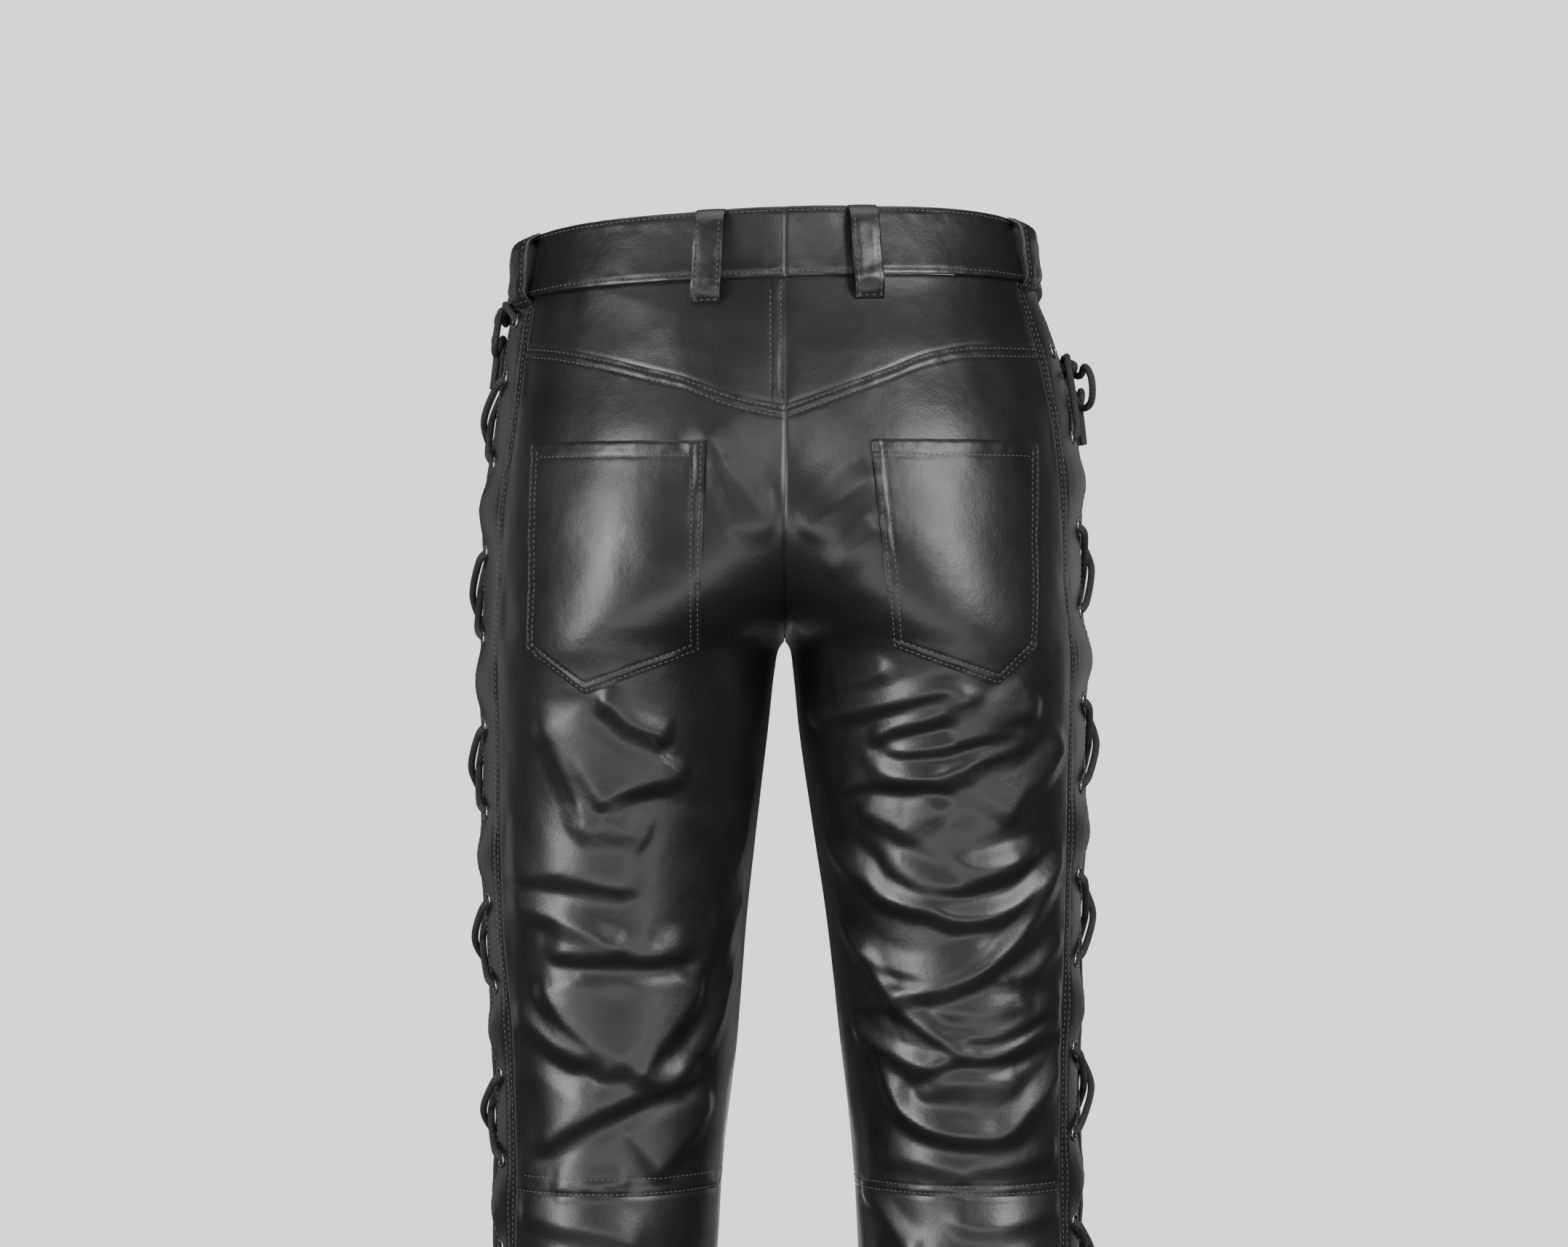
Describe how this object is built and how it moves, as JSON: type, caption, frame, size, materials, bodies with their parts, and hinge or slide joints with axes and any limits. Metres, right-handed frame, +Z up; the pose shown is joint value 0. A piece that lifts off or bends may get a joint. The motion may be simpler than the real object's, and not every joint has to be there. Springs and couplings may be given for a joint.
{
  "type": "faux leather trousers",
  "caption": "Straight five-pocket style faux leather trousers with a pointed back yoke, patch back pockets, belt loops and laced side seams, filled out as worn.",
  "frame": {"origin": "middle of the waist opening, level with the top edge of the waistband at the centre back, where the wearer's waist holds the trousers up", "axes": "+X to the wearer's left, -Y to the front, +Z up along the legs"},
  "size_m": [0.3958, 0.2816, 1.0528],
  "materials": {
    "leather": "smooth black faux leather with a soft satin shine",
    "lace": "round black braided lace",
    "metal": "dark gunmetal"
  },
  "bodies": {
    "root": {"waistband_left": "leather", "waistband_right": "leather", "yoke_left": "leather", "yoke_right": "leather", "back_upper_left": "leather", "back_upper_right": "leather", "front_upper_left": "leather", "front_upper_right": "leather", "back_lower_left": "leather", "back_lower_right": "leather", "front_lower_left": "leather", "front_lower_right": "leather", "eyelet_strip_back_left": "leather", "eyelet_strip_back_right": "leather", "eyelet_strip_front_left": "leather", "eyelet_strip_front_right": "leather", "tongue_left": "leather", "tongue_right": "leather", "back_pocket_left": "leather", "back_pocket_right": "leather", "belt_loop_back_left": "leather", "belt_loop_back_right": "leather", "belt_loop_side_left": "leather", "belt_loop_side_right": "leather", "belt_loop_front_left": "leather", "belt_loop_front_right": "leather", "fly_flap": "leather", "waistband_button": "metal", "lace_left": "lace", "lace_right": "lace"}
  },
  "joints": []
}
